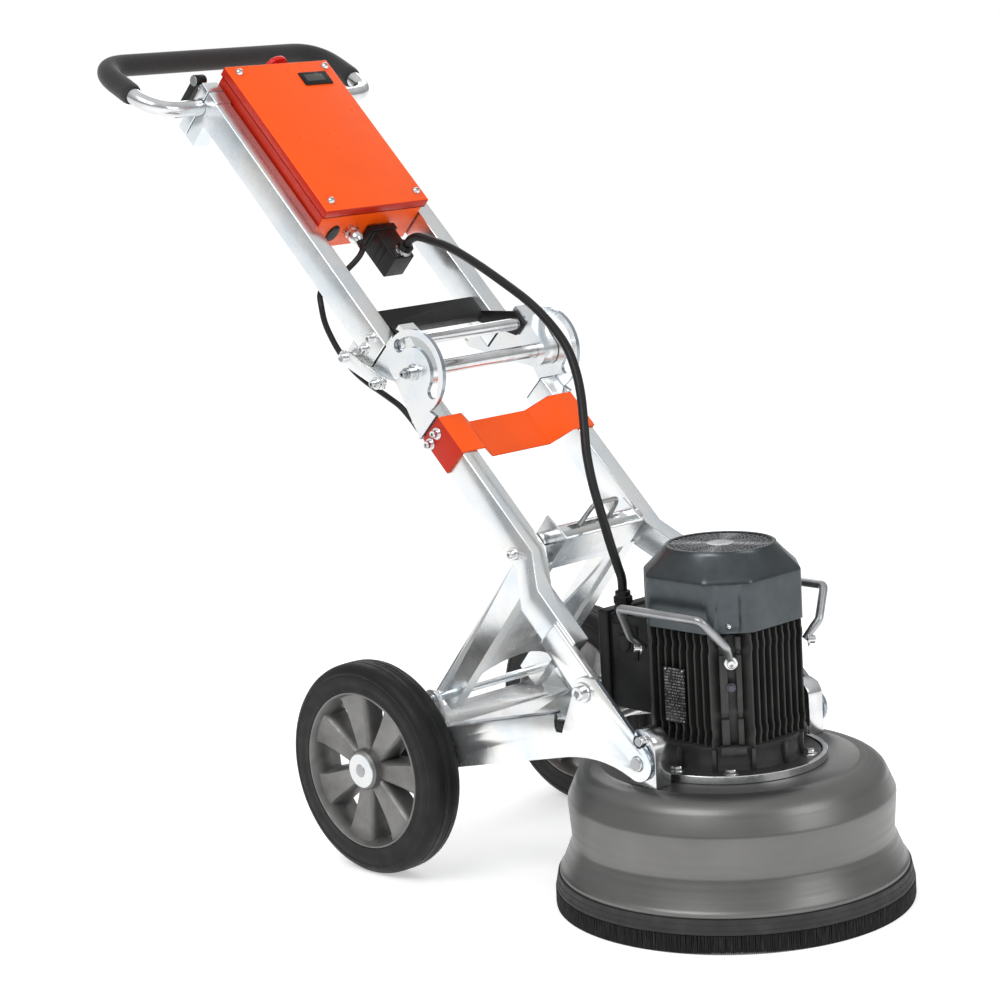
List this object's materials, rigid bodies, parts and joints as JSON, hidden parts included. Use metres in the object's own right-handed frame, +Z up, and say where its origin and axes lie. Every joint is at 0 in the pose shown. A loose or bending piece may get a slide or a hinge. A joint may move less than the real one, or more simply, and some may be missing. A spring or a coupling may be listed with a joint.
{
  "type": "planetary floor grinder",
  "caption": "Walk-behind floor grinder: planetary head under a dust shroud, vertical motor, two wheels and a folding handle frame with a control box.",
  "frame": {"origin": "on the floor under the middle of the machine", "axes": "+X from the handle towards the grinding head, +Y to the left of someone who walks behind it, +Z up"},
  "size_m": [1.301, 0.502, 1.1967],
  "materials": {
    "zinc_steel": "bright zinc plate, satin",
    "shroud_metal": "spun steel, satin grey",
    "orange_paint": "satin powder coat",
    "motor_paint": "semi-gloss paint over cast fins",
    "cover_paint": "satin paint on pressed sheet",
    "black_plastic": "satin black",
    "rubber": "matt",
    "grip_foam": "closed-cell foam, matt",
    "cast_aluminium": "silver paint over a casting",
    "bright_steel": "bright turned or drawn steel",
    "stop_red": "glossy"
  },
  "bodies": {
    "chassis": {"side_rail_right": "zinc_steel", "side_rail_left": "zinc_steel", "rear_beam": "zinc_steel", "axle": "bright_steel", "tie_bar": "zinc_steel", "ear_bolt_right": "bright_steel", "ear_bolt_left": "bright_steel"},
    "head": {"skirt_brush": "rubber", "skirt_band": "rubber", "shroud": "shroud_metal", "collar_ring": "zinc_steel", "tilt_lug_right": "bright_steel", "tilt_lug_left": "bright_steel", "motor_body": "motor_paint", "fan_cover": "cover_paint", "terminal_box": "black_plastic", "terminal_lid": "black_plastic", "lift_handle_right": "bright_steel", "lift_handle_left": "bright_steel", "motor_cable_3": "rubber"},
    "carrier": {"planet_carrier": "bright_steel"},
    "tool_1": {"tool_disc_1": "bright_steel"},
    "tool_2": {"tool_disc_2": "bright_steel"},
    "tool_3": {"tool_disc_3": "bright_steel"},
    "rotor": {"rotor_and_fan": "bright_steel"},
    "wheel_right": {"tyre_right": "rubber", "wheel_centre_right": "cast_aluminium"},
    "wheel_left": {"tyre_left": "rubber", "wheel_centre_left": "cast_aluminium"},
    "lower_frame": {"lower_arm_right": "zinc_steel", "lower_arm_left": "zinc_steel", "crosspiece": "orange_paint", "fold_plate_right": "zinc_steel", "fold_plate_left": "zinc_steel", "fold_shaft": "zinc_steel", "motor_cable_2": "rubber"},
    "upper_frame": {"upper_tube_right": "zinc_steel", "upper_tube_left": "zinc_steel", "clamp_cap_right": "cast_aluminium", "clamp_cap_left": "cast_aluminium", "hinge_fork_right": "zinc_steel", "hinge_fork_left": "zinc_steel", "stop_link_right": "zinc_steel", "stop_link_left": "zinc_steel", "box_body": "orange_paint", "box_lid": "orange_paint", "power_plug": "black_plastic", "motor_cable_1": "rubber", "control_cable": "rubber"},
    "lock_bar": {"lock_slider": "black_plastic"},
    "strut": {"strut": "zinc_steel", "latch_channel": "zinc_steel"},
    "latch_pin_right": {"latch_pin_right": "bright_steel"},
    "latch_pin_left": {"latch_pin_left": "bright_steel"},
    "latch_pull": {"latch_handle": "bright_steel"},
    "handle": {"handlebar": "bright_steel", "grip": "grip_foam"},
    "clamp_lever_right": {"clamp_lever_right": "black_plastic"},
    "clamp_lever_left": {"clamp_lever_left": "black_plastic"},
    "stop_button": {"stop_button": "stop_red"}
  },
  "joints": [
    {"name": "head_tilt", "type": "hinge", "parent": "chassis", "child": "head", "pos_m": [0.40048, 0, 0.231], "axis": [0, 1, 0], "range_deg": [-2, 2], "deforming": ["motor_cable_3"]},
    {"name": "carrier_spin", "type": "hinge", "parent": "head", "child": "carrier", "pos_m": [0.40048, 0, 0.07], "axis": [0, 0, 1], "continuous": true},
    {"name": "tool_1_spin", "type": "hinge", "parent": "carrier", "child": "tool_1", "pos_m": [0.49055, 0.052, 0.07], "axis": [0, 0, 1], "continuous": true},
    {"name": "tool_2_spin", "type": "hinge", "parent": "carrier", "child": "tool_2", "pos_m": [0.31041, 0.052, 0.07], "axis": [0, 0, 1], "continuous": true},
    {"name": "tool_3_spin", "type": "hinge", "parent": "carrier", "child": "tool_3", "pos_m": [0.40048, -0.104, 0.07], "axis": [0, 0, 1], "continuous": true},
    {"name": "rotor_spin", "type": "hinge", "parent": "head", "child": "rotor", "pos_m": [0.40048, 0, 0.3], "axis": [0, 0, 1], "continuous": true},
    {"name": "wheel_right_spin", "type": "hinge", "parent": "chassis", "child": "wheel_right", "pos_m": [-0.09052, -0.22, 0.1565], "axis": [0, 1, 0], "continuous": true},
    {"name": "wheel_left_spin", "type": "hinge", "parent": "chassis", "child": "wheel_left", "pos_m": [-0.09052, 0.22, 0.1565], "axis": [0, 1, 0], "continuous": true},
    {"name": "frame_fold", "type": "hinge", "parent": "chassis", "child": "lower_frame", "pos_m": [0.30598, 0, 0.316], "axis": [0, 1, 0], "range_deg": [-35, 0], "deforming": ["motor_cable_2"]},
    {"name": "upper_fold", "type": "hinge", "parent": "lower_frame", "child": "upper_frame", "pos_m": [-0.04457, 0, 0.7279], "axis": [0, 1, 0], "range_deg": [0, 120], "deforming": ["motor_cable_1", "control_cable"]},
    {"name": "lock_slide", "type": "slide", "parent": "upper_frame", "child": "lock_bar", "axis": [-0.7071, 0, 0.7071], "range_m": [0, 0.014], "stiffness_N_per_m": 1500, "springref_m": -0.004},
    {"name": "strut_swing", "type": "hinge", "parent": "chassis", "child": "strut", "pos_m": [-0.05952, 0, 0.242], "axis": [0, 1, 0], "range_deg": [-22, 0]},
    {"name": "latch_pin_right_slide", "type": "slide", "parent": "strut", "child": "latch_pin_right", "axis": [0, 1, 0], "range_m": [0, 0.01], "stiffness_N_per_m": 800, "springref_m": -0.004},
    {"name": "latch_pin_left_slide", "type": "slide", "parent": "strut", "child": "latch_pin_left", "axis": [0, -1, 0], "range_m": [0, 0.01]},
    {"name": "latch_pull_slide", "type": "slide", "parent": "strut", "child": "latch_pull", "axis": [0.644, 0, 0.765], "range_m": [0, 0.012]},
    {"name": "handle_tilt", "type": "hinge", "parent": "upper_frame", "child": "handle", "pos_m": [-0.49826, 0, 1.11086], "axis": [0, 1, 0], "range_deg": [-40, 40]},
    {"name": "clamp_lever_right_swing", "type": "hinge", "parent": "upper_frame", "child": "clamp_lever_right", "pos_m": [-0.51593, -0.118, 1.15117], "axis": [0, 1, 0], "range_deg": [0, 80]},
    {"name": "clamp_lever_left_swing", "type": "hinge", "parent": "upper_frame", "child": "clamp_lever_left", "pos_m": [-0.51593, 0.118, 1.15117], "axis": [0, 1, 0], "range_deg": [0, 80]},
    {"name": "stop_press", "type": "slide", "parent": "upper_frame", "child": "stop_button", "axis": [0.7071, 0, -0.7071], "range_m": [0, 0.005], "stiffness_N_per_m": 1200, "springref_m": -0.003}
  ],
  "couplings": [
    {"joint": "tool_1_spin", "follows": "carrier_spin", "ratio": -6},
    {"joint": "tool_2_spin", "follows": "carrier_spin", "ratio": -6},
    {"joint": "tool_3_spin", "follows": "carrier_spin", "ratio": -6},
    {"joint": "rotor_spin", "follows": "carrier_spin", "ratio": -12},
    {"joint": "latch_pin_left_slide", "follows": "latch_pin_right_slide", "ratio": 1},
    {"joint": "latch_pull_slide", "follows": "latch_pin_right_slide", "ratio": 1.2}
  ]
}
